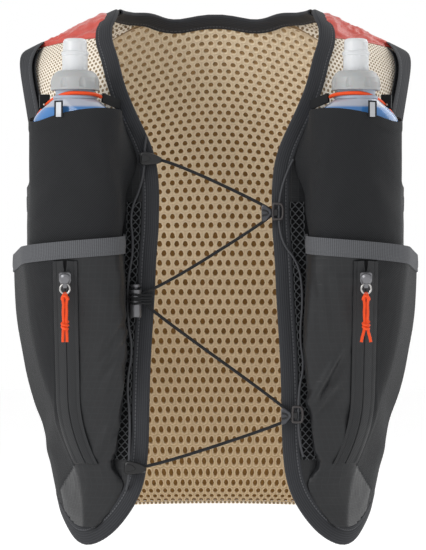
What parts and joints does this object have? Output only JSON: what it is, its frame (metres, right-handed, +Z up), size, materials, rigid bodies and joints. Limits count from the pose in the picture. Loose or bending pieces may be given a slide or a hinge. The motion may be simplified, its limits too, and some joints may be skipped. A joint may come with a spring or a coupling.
{
  "type": "running hydration vest",
  "caption": "Running hydration vest with open laced front, soft flasks in chest pockets, zipped lower pockets and a rear compartment.",
  "frame": {"origin": "on the upright axis of the wearer's trunk, level with the lowest tips of the two fronts", "axes": "+X to the wearer's left, +Y to the wearer's back, +Z up"},
  "size_m": [0.3382, 0.296, 0.4409],
  "materials": {
    "panel_mesh": "open knit mesh, beige",
    "shoulder_mesh": "fine knit mesh, light beige",
    "yoke_ripstop": "crinkled coated ripstop, coral",
    "binding_elastic": "ribbed fold-over elastic, black",
    "stretch_twill": "stretch twill, charcoal",
    "light_ripstop": "light ripstop, charcoal",
    "band_elastic": "ribbed elastic, heather grey",
    "zip_tape": "coated woven tape with hidden coil, black",
    "slider_metal": "satin gunmetal",
    "pull_cord": "braided cord, orange",
    "lace_elastic": "braided elastic, black",
    "daisy_cord": "thin braided cord, black",
    "ladder_mesh": "hexagonal mesh tape, black",
    "hook_plastic": "satin moulded, black",
    "lock_metal": "anodised gunmetal",
    "spring_steel": "bright wire",
    "bladder_film": "clear flexible film, bluish",
    "collar_plastic": "translucent moulded, blue",
    "cap_plastic": "frosted moulded, grey",
    "valve_silicone": "clear silicone",
    "retainer_elastic": "round elastic cord, orange",
    "keeper_webbing": "woven webbing, black",
    "tab_plastic": "soft moulded, black",
    "reflective_tab": "reflective tape, silver"
  },
  "bodies": {
    "vest": {"armhole_binding_left": "binding_elastic", "armhole_binding_right": "binding_elastic", "back_panel": "panel_mesh", "cord_lock_body": "lock_metal", "cord_lock_spring": "spring_steel", "daisy_cord_left": "daisy_cord", "daisy_cord_right": "daisy_cord", "flask_pocket_left": "stretch_twill", "flask_pocket_right": "stretch_twill", "front_binding_left": "binding_elastic", "front_binding_right": "binding_elastic", "front_panel_left": "shoulder_mesh", "front_panel_right": "shoulder_mesh", "hem_binding": "binding_elastic", "keeper_webbing_left": "keeper_webbing", "keeper_webbing_right": "keeper_webbing", "lace_end_lower": "hook_plastic", "lace_end_upper": "hook_plastic", "lace_lower": "lace_elastic", "lace_upper": "lace_elastic", "ladder_tape_left": "ladder_mesh", "ladder_tape_right": "ladder_mesh", "neck_binding": "binding_elastic", "pocket_band_left": "band_elastic", "pocket_band_right": "band_elastic", "rear_compartment": "light_ripstop", "rear_pocket": "stretch_twill", "rear_pocket_hem": "band_elastic", "rear_zip_tape": "zip_tape", "retainer_elastic_left": "retainer_elastic", "retainer_elastic_right": "retainer_elastic", "retainer_tab_left": "tab_plastic", "retainer_tab_right": "tab_plastic", "rim_tab_left": "reflective_tab", "rim_tab_right": "reflective_tab", "shoulder_yoke_left": "yoke_ripstop", "shoulder_yoke_right": "yoke_ripstop", "zip_pocket_left": "stretch_twill", "zip_pocket_right": "stretch_twill", "zip_tape_left": "zip_tape", "zip_tape_right": "zip_tape"},
    "flask_right": {"flask_bladder_right": "bladder_film", "flask_collar_right": "collar_plastic"},
    "cap_right": {"flask_cap_right": "cap_plastic", "bite_valve_right": "valve_silicone"},
    "slider_right": {"zip_slider_right": "slider_metal"},
    "pull_right": {"zip_pull_right": "pull_cord"},
    "flask_left": {"flask_bladder_left": "bladder_film", "flask_collar_left": "collar_plastic"},
    "cap_left": {"flask_cap_left": "cap_plastic", "bite_valve_left": "valve_silicone"},
    "slider_left": {"zip_slider_left": "slider_metal"},
    "pull_left": {"zip_pull_left": "pull_cord"},
    "rear_slider": {"rear_zip_slider": "slider_metal"},
    "rear_pull": {"rear_zip_pull": "pull_cord"},
    "hook_upper": {"lace_hook_upper": "hook_plastic"},
    "hook_lower": {"lace_hook_lower": "hook_plastic"},
    "lock_plunger": {"cord_lock_plunger": "lock_metal"}
  },
  "joints": [
    {"name": "flask_slide_right", "type": "slide", "parent": "vest", "child": "flask_right", "axis": [0, 0, 1], "range_m": [0, 0.2], "deforming": ["retainer_elastic_right", "retainer_tab_right", "keeper_webbing_right"]},
    {"name": "cap_turn_right", "type": "hinge", "parent": "flask_right", "child": "cap_right", "pos_m": [-0.113, -0.117, 0.3645], "axis": [0, 0, 1], "range_deg": [0, 540]},
    {"name": "zip_slide_right", "type": "slide", "parent": "vest", "child": "slider_right", "axis": [0, 0.4134, -0.9106], "range_m": [0, 0.082]},
    {"name": "zip_pull_swing_right", "type": "hinge", "parent": "slider_right", "child": "pull_right", "pos_m": [-0.1195, -0.14788, 0.20779], "axis": [1, 0, 0], "range_deg": [-120, 0]},
    {"name": "flask_slide_left", "type": "slide", "parent": "vest", "child": "flask_left", "axis": [0, 0, 1], "range_m": [0, 0.2], "deforming": ["retainer_elastic_left", "retainer_tab_left", "keeper_webbing_left"]},
    {"name": "cap_turn_left", "type": "hinge", "parent": "flask_left", "child": "cap_left", "pos_m": [0.113, -0.117, 0.3645], "axis": [0, 0, 1], "range_deg": [0, 540]},
    {"name": "zip_slide_left", "type": "slide", "parent": "vest", "child": "slider_left", "axis": [0, 0.4134, -0.9106], "range_m": [0, 0.082]},
    {"name": "zip_pull_swing_left", "type": "hinge", "parent": "slider_left", "child": "pull_left", "pos_m": [0.1195, -0.14788, 0.20779], "axis": [1, 0, 0], "range_deg": [-120, 0]},
    {"name": "rear_zip_slide", "type": "slide", "parent": "vest", "child": "rear_slider", "axis": [-1, 0, 0], "range_m": [0, 0.112]},
    {"name": "rear_pull_swing", "type": "hinge", "parent": "rear_slider", "child": "rear_pull", "pos_m": [0.05168, 0.13799, 0.318], "axis": [1, 0, 0], "range_deg": [0, 80]},
    {"name": "hook_slide_upper", "type": "slide", "parent": "vest", "child": "hook_upper", "axis": [0, 0.0144, 0.9999], "range_m": [-0.008, 0.008], "deforming": ["lace_upper"]},
    {"name": "hook_slide_lower", "type": "slide", "parent": "vest", "child": "hook_lower", "axis": [0, -0.0706, 0.9975], "range_m": [-0.008, 0.008], "deforming": ["lace_lower"]},
    {"name": "cord_lock_press", "type": "slide", "parent": "vest", "child": "lock_plunger", "axis": [0, 0, -1], "range_m": [0, 0.0035], "stiffness_N_per_m": 600, "springref_m": -0.003, "deforming": ["cord_lock_spring"]}
  ]
}
